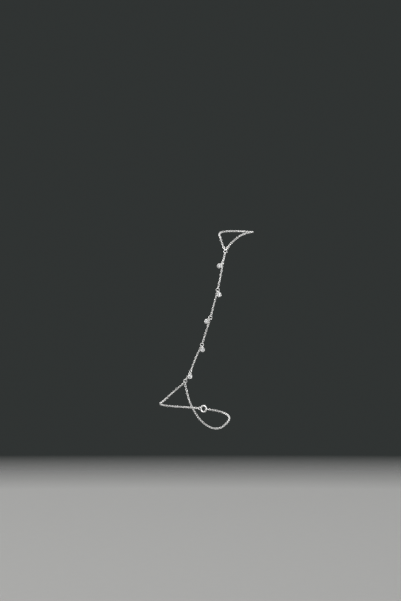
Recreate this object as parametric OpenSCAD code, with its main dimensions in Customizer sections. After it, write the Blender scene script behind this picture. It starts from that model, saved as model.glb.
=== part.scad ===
// Hand chain bracelet: fine cable chain round the wrist, up the back of the hand and round the finger.
// Five stone charms hang along the chain on the hand, each from a connector ring.
// Millimetres. X runs to the wearer's thumb side, Z up the hand, and -Y faces the viewer.
// The origin is the middle of the opening for the wrist.

/* [Chain] */
// Outside length of a link
link_length = 2.18; // [2:0.02:2.5]
// Outside width of a link
link_width = 1.25; // [1.2:0.05:1.5]
// Thickness of a link's wire
link_wire = 0.3; // [0.26:0.01:0.32]
// Least clearance between pieces that hang in each other
play = 0.13; // [0.1:0.01:0.14]

/* [Connector rings] */
// Outside diameter of a connector ring
ring_diameter = 2.6; // [2.5:0.1:3.2]
// Thickness of a connector ring's wire
ring_wire = 0.42; // [0.36:0.02:0.44]

/* [Charms] */
// Outside diameter of the small ring that carries a charm
charm_ring_diameter = 1.85; // [1.8:0.05:2.2]
// Thickness of the small ring's wire
charm_ring_wire = 0.28; // [0.24:0.02:0.3]
// Diameter of a setting at its rim
setting_diameter = 2.8; // [2.6:0.1:3]
// Diameter of a setting at its back
setting_back = 1.9; // [1.7:0.1:2]
// Diameter of the hole in a setting's back
back_hole = 0.95; // [0.8:0.05:1.1]
// Height of a setting
setting_height = 1.3; // [1.2:0.1:1.5]
// Height of a setting's straight rim
rim_height = 0.3; // [0.2:0.05:0.4]
// Thickness of a claw
claw_wire = 0.4; // [0.34:0.02:0.44]
// Thickness of the wire of a setting's eye
eye_wire = 0.28; // [0.24:0.02:0.34]
// Height of the eye above a setting's back
eye_height = 0.35; // [0.3:0.05:0.5]
// Diameter of a stone
stone_diameter = 2.2; // [1.9:0.1:2.2]
// Depth of a stone's widest part below the rim
girdle_depth = 0.25; // [0.2:0.05:0.3]
// Gap between a stone and its setting
stone_gap = 0.06; // [0.05:0.01:0.1]

/* [Clasp] */
// Outside diameter of the round clasp
clasp_diameter = 5; // [5:0.5:7]
// Thickness of the clasp's tube
clasp_tube = 1; // [0.9:0.1:1.2]
// Outside diameter of the clasp's eye
clasp_eye_diameter = 2; // [1.9:0.1:2.4]
// Outside diameter of the ring that the clasp closes on
catch_diameter = 3.4; // [3.2:0.1:4]

/* [Hand] */
// Width of the opening for the wrist
wrist_width = 50; // [44:1:60]
// Depth of the opening for the wrist
wrist_depth = 37; // [32:1:44]
// Turn of the wrist to the viewer, in degrees
wrist_turn = 39; // [30:1:45]
// Width of the opening for the finger
finger_width = 21.8; // [18:0.2:26]
// Depth of the opening for the finger
finger_depth = 18.8; // [16:0.2:23]

/* [Hidden] */
$fn = 32;

// Columns of a row round an opening: angle from its wide side, height, and distance off it
ANGLE = 0;
HEIGHT = 1;
OFF = 2;

// The chain round the wrist, from its ring to each end of the clasp
wrist_ring_row = [-74.7, 19.9, 0];
left_route = [
    [-79, 18, 0],
    [-86, 15.9, 0],
    [-101, 11.6, 0],
    [-121, 7, 0],
    [-149, 4.5, 0],
    [-178, 3.2, 0],
    [-208, 2.3, 0],
    [-236, 1.6, 0]
];
right_route = [
    [-74.7, 17.8, 0],
    [-72.6, 13.8, 0],
    [-69.8, 9.4, 0],
    [-65.8, 4.9, 0],
    [-60.7, 1, 0],
    [-50.7, -4.9, 0],
    [-41.1, -8.3, 0],
    [-30.9, -10.3, 0],
    [-19.3, -10.9, 0],
    [-8.5, -10.2, 0],
    [3.5, -8.2, 0],
    [16, -6.3, 0],
    [31, -4.5, 0],
    [52, -2.4, 0],
    [68, -1.1, 0],
    [84, -0.1, 0]
];
clasp_row = [106, 0.9, 0];

// Up the hand, steps from the wrist ring to each connector ring and to the finger ring
hand_route = [
    [3.4, -1.2, 6.3],
    [10.8, -4.6, 23.7],
    [16.3, -6, 41.3],
    [21, -6.2, 59.3],
    [24.3, -5.1, 77.1],
    [26, -4.6, 84.3]
];

// The chain round the finger, from its ring and back to it
finger_ring_row = [-120, 0, 3];
finger_route = [
    [-107, 4.8, 1.5],
    [-90, 8.2, 0.5],
    [-74, 10.4, 0.2],
    [-57, 11.6, 0.1],
    [-36, 12.4, 0],
    [-3, 12.8, 0],
    [30, 12.9, 0],
    [60, 13.3, 0],
    [90, 13.5, 0],
    [120, 13.4, 0],
    [155, 12.5, 0],
    [183, 11.1, 0],
    [210.5, 9.3, 1],
    [225.2, 5.8, 2.3]
];

// Turn of each connector ring about the chain, from the wrist to the finger
ring_turns = [-40, 0, 30, 0, 70];

// Bow of each hand chain to the thumb side at its middle
hand_bows = [0, -0.4, 0, 0, 0.2, 0];

// Yaw and pitch of the way that the rings and charms face
facing_yaw = 16;
facing_pitch = 4;

// A row for each charm, from the wrist to the finger: where its small ring hooks on the connector
// ring, the small ring's lean to the viewer, and the charm's swing from hanging straight down
HOOK = 0;
LEAN = 1;
SWING = 2;
charm_table = [
    [45, 20, 0],
    [40, 60, 10],
    [-45, 40, -35],
    [40, 40, 20],
    [-50, 20, -45]
];

// Room that a wire has inside a small ring and inside a setting's eye, in shares of the play
small_ring_room = 1.4;
eye_room = 3.5;
// How far a small ring squares itself to the eye and not to the connector ring
eye_share = 0.85;
// How far a soldered wire sinks into its seat and a claw bends over its stone, in shares of the wire
solder_share = 0.25;
claw_bend_share = 0.2;
claw_angles = [45:90:315];

// A brilliant cut, in shares of the stone's radius, with the slopes of its crown and pavilion
table_share = 0.58;
star_share = 0.8;
lower_share = 0.28;
girdle_share = 0.05;
crown_slope = tan(34);
pavilion_slope = tan(41);
// Columns of its rows: radius, height above the girdle, corners, and turn in degrees
RADIUS = 0;
ABOVE = 1;
CORNERS = 2;
TURN = 3;
cut_rows = [
    [table_share, girdle_share + (1 - table_share) * crown_slope, 8, 0],
    [star_share, girdle_share + (1 - star_share * cos(22.5)) * crown_slope, 8, 22.5],
    [1, girdle_share, 16, 0],
    [1, -girdle_share, 16, 0],
    [lower_share, -girdle_share - (1 - lower_share * cos(22.5)) * pavilion_slope, 8, 22.5],
    [0, -girdle_share - pavilion_slope, 1, 0]
];

// Vectors
function unit(v) = v / norm(v);
function squared(v, axis) = unit(v - (v * axis) * axis);
function turned(v, axis, angle) = v * cos(angle) + cross(axis, v) * sin(angle);
// Turn of a vector from up about an axis
function turn_of(v, up, axis) = atan2(v * cross(axis, up), v * up);
// An angle moved by half turns to within 90 degrees of another
function half_turned(angle, other) = angle - 180 * round((angle - other) / 180);

front = [
    -sin(facing_yaw) * cos(facing_pitch),
    -cos(facing_yaw) * cos(facing_pitch),
    sin(facing_pitch)
];

// A point round an oval opening, from a route's row
function around(width, depth, turn, row) =
    let (
        x = (width / 2 + row[OFF]) * cos(row[ANGLE]),
        y = (depth / 2 + row[OFF]) * sin(row[ANGLE])
    )
    [x * cos(turn) + y * sin(turn), y * cos(turn) - x * sin(turn), row[HEIGHT]];
function on_wrist(row) = around(wrist_width, wrist_depth, wrist_turn, row);

// Smooth curve through points
function slope(p, i) =
    let (
        back = p[i] - p[max(i - 1, 0)],
        ahead = p[min(i + 1, len(p) - 1)] - p[i],
        a = norm(back),
        b = norm(ahead)
    )
    a == 0 ? ahead / b : b == 0 ? back / a : (back * b / a + ahead * a / b) / (a + b);
function between(p, i, t) =
    let (step = norm(p[i + 1] - p[i]))
    p[i] * (2 * t ^ 3 - 3 * t ^ 2 + 1) + p[i + 1] * (3 * t ^ 2 - 2 * t ^ 3)
        + step * (slope(p, i) * (t ^ 3 - 2 * t ^ 2 + t) + slope(p, i + 1) * (t ^ 3 - t ^ 2));
curve_steps = 8;
function smooth(p) = [
    for (i = [0:len(p) - 2], k = [0:curve_steps - 1]) between(p, i, k / curve_steps),
    p[len(p) - 1]
];
function distances(p) = [
    for (i = 0, s = 0; i < len(p); s = s + (i + 1 < len(p) ? norm(p[i + 1] - p[i]) : 0), i = i + 1) s
];
function along(tables, s) = [for (table = tables) lookup(s, table)];

// Rings on the hand, each as its middle and its normal
ring_mid = (ring_diameter - ring_wire) / 2;
wrist_ring_at = on_wrist(wrist_ring_row);
hand_points = [wrist_ring_at, for (step = hand_route) wrist_ring_at + step];
last = len(hand_points) - 1;
function hand_way(i) = unit(hand_points[min(i + 1, last)] - hand_points[max(i - 1, 0)]);
hand_rings = [
    for (i = [0:last])
        let (turn = i == 0 || i == last ? 0 : ring_turns[i - 1])
        [hand_points[i], turned(squared(front, hand_way(i)), hand_way(i), turn)]
];
function hook_point(ring, way) = ring[0] + ring_mid * squared(way, ring[1]);
function hook_toward(ring, point) = hook_point(ring, point - ring[0]);

// The clasp and its catch ring, on the far side of the wrist
clasp_at = on_wrist(clasp_row);
clasp_way = unit(on_wrist(left_route[len(left_route) - 1]) - on_wrist(right_route[len(right_route) - 1]));
clasp_out = squared([clasp_at[0], clasp_at[1], 0], clasp_way);
clasp_mid = (clasp_diameter - clasp_tube) / 2;
clasp_eye_mid = (clasp_eye_diameter - ring_wire) / 2;
clasp_eye_off = clasp_diameter / 2 + clasp_eye_mid - solder_share * ring_wire;
catch_mid = (catch_diameter - ring_wire) / 2;
catch_off = clasp_mid - clasp_tube / 2 - play - ring_wire / 2 + catch_mid;

// Links of a chain between two hook points: the middle, the long way and the wide way of each
// The route runs on straight past its ends, as the end links reach past the hook points
run_on = 2;
hold = ring_wire / 2 + play + link_wire / 2;
longest_pitch = link_length - 2 * link_wire - play;
// Each link is turned from the one before it. On the skin they lean to one side and the other in turn.
// At a ring a link stands square to it, and each one in from there leans a step further.
link_turn = 90;
rest_lean = 45;
lean_step = 14;
function links(route, first_normal, last_normal, off_skin) =
    let (
        p = smooth(route),
        n = len(route) - 1,
        fine = [route[0] - run_on * slope(route, 0), each p, route[n] + run_on * slope(route, n)],
        s = distances(fine),
        tables = [for (axis = [0:2]) [for (i = [0:len(fine) - 1]) [s[i], fine[i][axis]]]],
        reach = s[len(s) - 1] - 2 * run_on + 2 * hold - (link_length - link_wire),
        gaps = ceil(reach / longest_pitch),
        pitch = reach / gaps,
        start = run_on - hold + (link_length - link_wire) / 2,
        middles = [for (k = [0:gaps]) along(tables, start + k * pitch)],
        ways = [
            for (k = [0:gaps])
                unit(along(tables, start + (k + 0.5) * pitch) - along(tables, start + (k - 0.5) * pitch))
        ],
        ups = [for (k = [0:gaps]) squared(off_skin(middles[k]), ways[k])],
        first = half_turned(turn_of(first_normal, ups[0], ways[0]), 0),
        end = half_turned(turn_of(last_normal, ups[gaps], ways[gaps]) - link_turn * gaps, first),
        rest = rest_lean + link_turn * round(((first + end) / 2 - rest_lean) / link_turn),
        step = max(lean_step, abs(end - first) / gaps),
        leans = [
            for (k = [0:gaps])
                let (back = gaps - k)
                min(first + k * step, end + back * step, max(first - k * step, end - back * step, rest))
        ]
    )
    [for (k = [0:gaps]) [middles[k], ways[k], turned(ups[k], ways[k], link_turn * k + leans[k])]];

function hand_middle(i) =
    (hand_points[i] + hand_points[i + 1]) / 2
        + hand_bows[i] * unit(cross(hand_points[i + 1] - hand_points[i], front));
function hand_links(i) = links(
    [
        hook_toward(hand_rings[i], hand_middle(i)),
        hand_middle(i),
        hook_toward(hand_rings[i + 1], hand_middle(i))
    ],
    hand_rings[i][1],
    hand_rings[i + 1][1],
    function (at) front
);

finger_middle = hand_points[last] - around(finger_width, finger_depth, 0, finger_ring_row);
finger_points = [
    for (row = finger_route) finger_middle + around(finger_width, finger_depth, 0, row)
];
finger_links = links(
    [
        hook_toward(hand_rings[last], finger_points[0]),
        each finger_points,
        hook_toward(hand_rings[last], finger_points[len(finger_points) - 1])
    ],
    hand_rings[last][1],
    hand_rings[last][1],
    function (at) [at[0] - finger_middle[0], at[1] - finger_middle[1], 0]
);

left_points = [for (row = left_route) on_wrist(row)];
left_links = links(
    [
        hook_toward(hand_rings[0], left_points[0]),
        each left_points,
        clasp_at + (clasp_eye_off + clasp_eye_mid) * clasp_way
    ],
    hand_rings[0][1],
    clasp_out,
    function (at) [at[0], at[1], 0]
);
right_points = [for (row = right_route) on_wrist(row)];
right_links = links(
    [
        hook_toward(hand_rings[0], right_points[0]),
        each right_points,
        clasp_at - (catch_off + catch_mid) * clasp_way
    ],
    hand_rings[0][1],
    cross(clasp_way, clasp_out),
    function (at) [at[0], at[1], 0]
);

// Charms
charm_ring_mid = (charm_ring_diameter - charm_ring_wire) / 2;
charm_ring_hold = charm_ring_mid - charm_ring_wire / 2 - small_ring_room * play;
ring_to_small = charm_ring_hold - ring_wire / 2;
small_to_eye = charm_ring_hold - eye_wire / 2;
eye_hole = charm_ring_wire + eye_room * play;
eye_diameter = eye_hole + 2 * eye_wire;
slant_height = setting_height - rim_height;
wall_at_eye = setting_back / 2 + (setting_diameter - setting_back) / 2 * min(1, eye_height / slant_height);
eye_reach = wall_at_eye + eye_hole + eye_wire / 2;
bore = stone_diameter / 2 + stone_gap;
girdle_height = setting_height - girdle_depth;

// For each charm, the middle, long way and normal of its small ring, then the foot of its setting,
// the way to its eye and the way it faces
function charm_places(i) =
    let (
        row = charm_table[i],
        ring = hand_rings[i + 1],
        up = hand_way(i + 1),
        side = cross(up, ring[1]),
        hook_way = side * sin(row[HOOK]) - up * cos(row[HOOK]),
        hook = ring[0] + ring_mid * hook_way,
        hang = turned(squared([0, 0, -1], front), front, row[SWING]),
        reach_way = hook_way * cos(row[LEAN]) + ring[1] * sin(row[LEAN]),
        eye = hook + (ring_to_small + small_to_eye) * reach_way,
        ring_wire_way = cross(ring[1], hook_way),
        eye_wire_way = cross(front, hang),
        same = ring_wire_way * eye_wire_way < 0 ? -1 : 1,
        ring_normal = squared((1 - eye_share) * same * ring_wire_way + eye_share * eye_wire_way, reach_way)
    )
    [
        [hook + ring_to_small * reach_way, reach_way, ring_normal],
        [eye + eye_reach * hang - eye_height * front, -hang, front]
    ];
charm_rings = [for (i = [0:len(charm_table) - 1]) charm_places(i)[0]];
charm_seats = [for (i = [0:len(charm_table) - 1]) charm_places(i)[1]];

connectors = [1:len(ring_turns)];
segments = [1:last];

// Puts what is drawn flat at a place, with its X and Z along two ways
module place(at, x, z) {
    y = cross(z, x);
    multmatrix([[x[0], y[0], z[0], at[0]], [x[1], y[1], z[1], at[1]], [x[2], y[2], z[2], at[2]]])
        children();
}

module wire_ring(diameter, wire) {
    rotate_extrude() translate([(diameter - wire) / 2, 0]) circle(d = wire);
}

module link() {
    straight = link_length - link_width;
    bend = (link_width - link_wire) / 2;
    for (side = [-1, 1]) {
        translate([side * straight / 2, 0, 0])
            rotate(side * -90)
                rotate_extrude(angle = 180) translate([bend, 0]) circle(d = link_wire);
        translate([-straight / 2, side * bend, 0])
            rotate([0, 90, 0]) cylinder(d = link_wire, h = straight);
    }
}

module chain(list) {
    color("silver")
        for (row = list) place(row[0], row[1], cross(row[1], row[2])) link();
}

module hand_ring(i) {
    color("silver")
        place(hand_rings[i][0], hand_way(i), hand_rings[i][1]) wire_ring(ring_diameter, ring_wire);
}

module charm_ring(i) {
    ring = charm_rings[i - 1];
    color("silver") place(ring[0], ring[1], ring[2]) wire_ring(charm_ring_diameter, charm_ring_wire);
}

module setting(i) {
    seat = charm_seats[i - 1];
    rim = setting_diameter / 2;
    claw_at = bore + claw_wire / 2;
    color("silver") place(seat[0], seat[1], seat[2]) {
        rotate_extrude() polygon([
            [back_hole / 2, 0],
            [setting_back / 2, 0],
            [rim, slant_height],
            [rim, setting_height],
            [bore, setting_height],
            [bore, girdle_height - 2 * stone_gap],
            [back_hole / 2, eye_height]
        ]);
        for (angle = claw_angles) rotate(angle) {
            translate([claw_at, 0, eye_height]) cylinder(d = claw_wire, h = setting_height - eye_height);
            translate([claw_at - claw_bend_share * claw_wire, 0, setting_height]) sphere(d = claw_wire);
        }
        translate([eye_reach - (eye_diameter - eye_wire) / 2, 0, eye_height]) wire_ring(eye_diameter, eye_wire);
    }
}

module stone(i) {
    seat = charm_seats[i - 1];
    corners = [
        for (row = cut_rows, k = [1:row[CORNERS]])
            let (angle = row[TURN] + 360 * k / row[CORNERS])
            stone_diameter / 2 * [row[RADIUS] * cos(angle), row[RADIUS] * sin(angle), row[ABOVE]]
    ];
    color("azure") place(seat[0], seat[1], seat[2])
        translate([0, 0, girdle_height])
            hull() polyhedron(corners, [[for (k = [0:len(corners) - 1]) k]]);
}

module clasp() {
    color("silver")
        place(clasp_at, clasp_way, clasp_out) {
            rotate(180) wire_ring(clasp_diameter, clasp_tube);
            translate([clasp_eye_off, 0, 0]) wire_ring(clasp_eye_diameter, ring_wire);
        }
}

module catch_ring() {
    color("silver")
        place(clasp_at - catch_off * clasp_way, clasp_way, cross(clasp_way, clasp_out))
            wire_ring(catch_diameter, ring_wire);
}

hand_ring(0);  // wrist_ring
hand_ring(last);  // finger_ring
for (i = connectors) {
    hand_ring(i);
    charm_ring(i);
    setting(i);
    stone(i);
}
for (i = segments)
    chain(hand_links(i - 1));
chain(finger_links);  // finger_chain
chain(left_links);  // wrist_chain_left
chain(right_links);  // wrist_chain_right
clasp();
catch_ring();
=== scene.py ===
"""The silver and the stones of a hand chain bracelet, lit and framed as it is worn."""
import math

import bpy
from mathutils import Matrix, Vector

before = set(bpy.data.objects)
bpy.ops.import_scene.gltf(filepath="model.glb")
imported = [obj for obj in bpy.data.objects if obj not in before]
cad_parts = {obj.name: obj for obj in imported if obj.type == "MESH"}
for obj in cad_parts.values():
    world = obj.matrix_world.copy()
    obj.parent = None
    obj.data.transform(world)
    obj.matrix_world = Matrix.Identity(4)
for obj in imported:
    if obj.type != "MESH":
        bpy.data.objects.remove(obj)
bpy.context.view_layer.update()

MM = 0.001


class Signal:
    """One output of a node. Sums and products of signals and numbers add Math nodes."""

    def __init__(self, nodes, socket):
        self.nodes = nodes
        self.socket = socket

    def math(self, operation, *values):
        return self.nodes.node("ShaderNodeMath", {"operation": operation}, dict(enumerate(values)))

    def __add__(self, other):
        return self.math("ADD", self, other)

    __radd__ = __add__

    def __sub__(self, other):
        return self.math("SUBTRACT", self, other)

    def __rsub__(self, other):
        return self.math("SUBTRACT", other, self)

    def __mul__(self, other):
        return self.math("MULTIPLY", self, other)

    __rmul__ = __mul__

    def within(self, low, high):
        """0 below low, 1 above high, and a straight slope between."""
        return self.nodes.node(
            "ShaderNodeMapRange", {"clamp": True}, {"Value": self, "From Min": low, "From Max": high}
        )


class Nodes:
    """A tree of shader nodes under construction."""

    def __init__(self, tree):
        self.tree = tree

    def node(self, kind, settings, values, output=0):
        """Adds a node with its settings, then the numbers or signals of its sockets."""
        made = self.tree.nodes.new(kind)
        for name, value in settings.items():
            setattr(made, name, value)
        for name, value in values.items():
            if isinstance(value, Signal):
                self.tree.links.new(value.socket, made.inputs[name])
            else:
                made.inputs[name].default_value = value
        return Signal(self, made.outputs[output]) if made.outputs else None

    def place(self, kind="Object"):
        return self.node("ShaderNodeTexCoord", {}, {}, output=kind)

    def part(self, vector, axis):
        return self.node("ShaderNodeSeparateXYZ", {}, {0: vector}, output=axis)

    def clouds(self, size, detail=3.0, stretch=(1.0, 1.0, 1.0), turn=(0.0, 0.0, 0.0)):
        """Noise whose patches are about size metres across."""
        at = self.node(
            "ShaderNodeMapping", {}, {"Vector": self.place(), "Rotation": turn, "Scale": stretch}
        )
        return self.node("ShaderNodeTexNoise", {}, {"Vector": at, "Scale": 1 / size, "Detail": detail})

    def blend(self, share, low, high):
        """A colour between two colours, each of them a triple or a signal."""
        low, high = (c if isinstance(c, Signal) else (*c, 1) for c in (low, high))
        return self.node(
            "ShaderNodeMix", {"data_type": "RGBA"}, {"Factor": share, 6: low, 7: high}, output=2
        )

    def crevice(self, reach, rays=8):
        """1 deep between neighbouring surfaces and 0 in the open."""
        settings = {"samples": rays}
        return 1 - self.node("ShaderNodeAmbientOcclusion", settings, {"Distance": reach}, output="AO")

    def relief(self, height, depth):
        return self.node("ShaderNodeBump", {}, {"Height": height, "Distance": depth, "Strength": 1.0})


class Finish(Nodes):
    """A material with a Principled shader as its surface, given the values that are the same all over."""

    def __init__(self, name, **surface):
        self.material = bpy.data.materials.new(name)
        self.material.use_nodes = True
        super().__init__(self.material.node_tree)
        self.surface = self.tree.nodes["Principled BSDF"]
        for socket, value in surface.items():
            self.surface.inputs[socket.replace("_", " ")].default_value = value

    def feed(self, **signals):
        """Links what varies over the surface to the shader's sockets."""
        for socket, signal in signals.items():
            self.tree.links.new(signal.socket, self.surface.inputs[socket.replace("_", " ")])


WORN_SILVER, BRIGHT_SILVER = (0.89, 0.885, 0.87), (0.965, 0.965, 0.955)
# The dark colour of tarnish and of painted shade in the crevices between links
TARNISH_AND_SHADE = (0.34, 0.325, 0.30)
# The stretch of the wear's clouds over which the colour brightens, and over which the polish dulls
WEAR_BRIGHTENS, WEAR_DULLS = (0.3, 0.7), (0.35, 0.75)
# Roughness that full wear, a hairline and full tarnish add to the polish
WEAR_ROUGHNESS, HAIRLINE_ROUGHNESS, TARNISH_ROUGHNESS = 0.08, 0.03, 0.25
# Hairlines are fine noise drawn out along a slant
HAIRLINE_SIZE = 0.05 * MM
HAIRLINE_DETAIL = 2.0
HAIRLINE_STRETCH, HAIRLINE_SLANT = (1.0, 0.12, 0.3), (0.5, 0.3, 0.9)
# How near surfaces are where tarnish and painted shade gather, their strength where wear is least, the
# depths of a crevice over which they darken, and their share of the colour where it is darkest
CREVICE_REACH = 0.5 * MM
LEAST_TARNISH_AND_SHADE = 0.6
TARNISH_AND_SHADE_DARKEN = (0.15, 0.9)
TARNISH_AND_SHADE_SHARE = 0.7
# Height of the relief, and the worn patches' share in it
RELIEF = 0.004 * MM
PATCH_RELIEF = 0.3


def silver(name, polish, patch, hairline, crevice_dark):
    """Polished silver: cloudy wear, fine hairlines, and a little tarnish with painted shade darkening the
    crevices where it can't be rubbed.
    """
    finish = Finish(name, Metallic=1.0)
    wear = finish.clouds(patch)
    lines = finish.clouds(HAIRLINE_SIZE, HAIRLINE_DETAIL, HAIRLINE_STRETCH, HAIRLINE_SLANT)
    # The crevice mask paints shade between neighbouring surfaces, together with the tarnish gathered there
    crevice = finish.crevice(CREVICE_REACH) * crevice_dark
    tarnish_and_shade = (crevice * (LEAST_TARNISH_AND_SHADE + wear)).within(*TARNISH_AND_SHADE_DARKEN)
    bright = finish.blend(wear.within(*WEAR_BRIGHTENS), WORN_SILVER, BRIGHT_SILVER)
    worn_rough = polish + WEAR_ROUGHNESS * wear.within(*WEAR_DULLS)
    finish.feed(
        # Tarnish and painted shade darken the colour in the crevices
        Base_Color=finish.blend(tarnish_and_shade * TARNISH_AND_SHADE_SHARE, bright, TARNISH_AND_SHADE),
        Roughness=worn_rough + HAIRLINE_ROUGHNESS * lines + TARNISH_ROUGHNESS * tarnish_and_shade,
        Normal=finish.relief(lines * hairline + wear * PATCH_RELIEF, RELIEF),
    )
    return finish.material


STONE_GREYER, STONE_CLEARER = (0.84, 0.855, 0.87), (0.88, 0.89, 0.9)
# Cubic zirconia
STONE_IOR = 2.16
STONE_CLOUDS = 0.25 * MM
STONE_ROUGHEST = 0.012


def brilliant():
    """Clear cut stone: the facets do the work, with the faintest cloud of polish on them."""
    finish = Finish("brilliant", Transmission_Weight=1.0, IOR=STONE_IOR)
    polish = finish.clouds(STONE_CLOUDS)
    finish.feed(
        Base_Color=finish.blend(polish, STONE_GREYER, STONE_CLEARER),
        Roughness=STONE_ROUGHEST * polish,
    )
    return finish.material


def dress():
    """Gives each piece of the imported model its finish."""
    drawn_wire = silver("drawn_silver_wire", polish=0.18, patch=1.1 * MM, hairline=0.5, crevice_dark=1.0)
    ring_wire = silver("polished_silver_ring", polish=0.06, patch=0.8 * MM, hairline=0.35, crevice_dark=0.7)
    cast = silver("cast_silver_setting", polish=0.08, patch=0.5 * MM, hairline=0.3, crevice_dark=0.9)
    finishes = {"stone": brilliant(), "setting": cast, "chain": drawn_wire}
    for name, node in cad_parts.items():
        found = [finish for word, finish in finishes.items() if word in name]
        node.material_slots[0].material = found[0] if found else ring_wire


# The photograph's view: its frame and the place of the part's origin in pixels, the size of a pixel, and
# the depth at which it has that size
PHOTO_WIDTH, PHOTO_HEIGHT = 401, 601
ORIGIN_X, ORIGIN_Y = 194.75, 411.8
PIXEL = 0.65 * MM
FRONT = -21 * MM
LENS, SENSOR = 250, 36
CLIP_NEAR, CLIP_FAR = 0.1, 50


def camera():
    """A long lens, level, straight before the middle of the photograph."""
    data = bpy.data.cameras.new("camera")
    data.lens = LENS
    data.sensor_width = SENSOR
    data.clip_start = CLIP_NEAR
    data.clip_end = CLIP_FAR
    eye = bpy.data.objects.new("camera", data)
    distance = PHOTO_HEIGHT * PIXEL * LENS / SENSOR
    eye.location = (
        (PHOTO_WIDTH / 2 - ORIGIN_X) * PIXEL,
        FRONT - distance,
        (ORIGIN_Y - PHOTO_HEIGHT / 2) * PIXEL,
    )
    eye.rotation_euler = (math.radians(90), 0, 0)
    bpy.context.scene.collection.objects.link(eye)
    bpy.context.scene.camera = eye


# Studio lights: place, width and height in metres, watts and colour. Each faces the bracelet's middle.
AIM = Vector((0.0, 0.0, 0.05))
LIGHTS = {
    "key": ((-1.1, -1.5, 1.25), 1.0, 0.8, 18.0, (1.0, 0.985, 0.96)),
    "fill": ((1.6, -1.1, 0.35), 0.6, 1.4, 8.0, (0.95, 0.98, 1.0)),
    "top": ((0.1, 0.3, 1.55), 1.4, 0.4, 3.5, (1.0, 1.0, 1.0)),
    "back": ((-1.4, 1.4, 0.65), 0.6, 1.2, 10.0, (1.0, 1.0, 1.0)),
}


def lights():
    for name, (place, width, height, watts, colour) in LIGHTS.items():
        data = bpy.data.lights.new(name, "AREA")
        data.shape = "RECTANGLE"
        data.size = width
        data.size_y = height
        data.energy = watts
        data.color = colour
        lamp = bpy.data.objects.new(name, data)
        lamp.location = place
        lamp.rotation_euler = (AIM - lamp.location).to_track_quat("-Z", "Y").to_euler()
        lamp.visible_camera = False
        bpy.context.scene.collection.objects.link(lamp)


BACKGROUND = (0.03, 0.034, 0.033)
# Brightness of the room that the silver mirrors: all round, and what is added above and on its two end walls
ROOM_DARK, ROOM_ABOVE, ROOM_ENDS = 0.18, 0.45, 0.8
# How far up a direction points where the room above brightens, and how far to an end where the end walls
# brighten and where they darken again
ABOVE_BRIGHTENS = (0.35, 0.6)
ENDS_BRIGHTEN, ENDS_DARKEN = (0.38, 0.55), (0.84, 0.92)


def surroundings():
    """The plain background that the camera sees, and the soft room that lights and mirrors in the silver."""
    world = bpy.data.worlds.new("studio")
    world.use_nodes = True
    nodes = Nodes(world.node_tree)
    nodes.tree.nodes.clear()
    direction = nodes.place("Generated")
    up = nodes.part(direction, "Z")
    along = nodes.part(direction, "Y")
    to_an_end = along.math("ABSOLUTE", along)
    end_walls = to_an_end.within(*ENDS_BRIGHTEN) - to_an_end.within(*ENDS_DARKEN)
    bright = ROOM_DARK + ROOM_ABOVE * up.within(*ABOVE_BRIGHTENS) + ROOM_ENDS * end_walls
    room = nodes.node("ShaderNodeBackground", {}, {"Color": (1, 1, 1, 1), "Strength": bright})
    seen = nodes.node("ShaderNodeBackground", {}, {"Color": (*BACKGROUND, 1)})
    from_camera = nodes.node("ShaderNodeLightPath", {}, {}, output="Is Camera Ray")
    both = nodes.node("ShaderNodeMixShader", {}, {0: from_camera, 1: room, 2: seen})
    nodes.node("ShaderNodeOutputWorld", {}, {"Surface": both})
    bpy.context.scene.world = world


FLOOR_PALE, FLOOR_PALER = (0.28, 0.28, 0.276), (0.295, 0.295, 0.29)
FLOOR_CLOUDS = 8 * MM
FLOOR_CORNERS = 96
FLOOR_HEIGHT = -62 * MM
# The floor's middle lies ahead of the bracelet, so that it reaches the viewer and fades soon behind
FLOOR_AHEAD = 0.35
# It is solid as far as the first distance from its middle, and has faded at the second
FLOOR_SOLID, FLOOR_RADIUS = 0.6, 1.25


def floor():
    """A pale floor whose far edge fades into the background."""
    angles = [2 * math.pi * k / FLOOR_CORNERS for k in range(FLOOR_CORNERS)]
    corners = [(FLOOR_RADIUS * math.cos(a), FLOOR_RADIUS * math.sin(a), 0) for a in angles]
    mesh = bpy.data.meshes.new("floor")
    mesh.from_pydata(corners, [], [tuple(range(FLOOR_CORNERS))])
    disc = bpy.data.objects.new("floor", mesh)
    disc.location = (0, -FLOOR_AHEAD, FLOOR_HEIGHT)
    bpy.context.scene.collection.objects.link(disc)
    finish = Finish("floor", Roughness=0.9, Specular_IOR_Level=0.1)
    away = finish.node("ShaderNodeVectorMath", {"operation": "LENGTH"}, {0: finish.place()}, output="Value")
    finish.feed(
        Base_Color=finish.blend(finish.clouds(FLOOR_CLOUDS), FLOOR_PALE, FLOOR_PALER),
        Alpha=1 - away.within(FLOOR_SOLID, FLOOR_RADIUS),
    )
    mesh.materials.append(finish.material)


dress()
camera()
lights()
surroundings()
floor()
bpy.context.scene.view_settings.view_transform = "Standard"
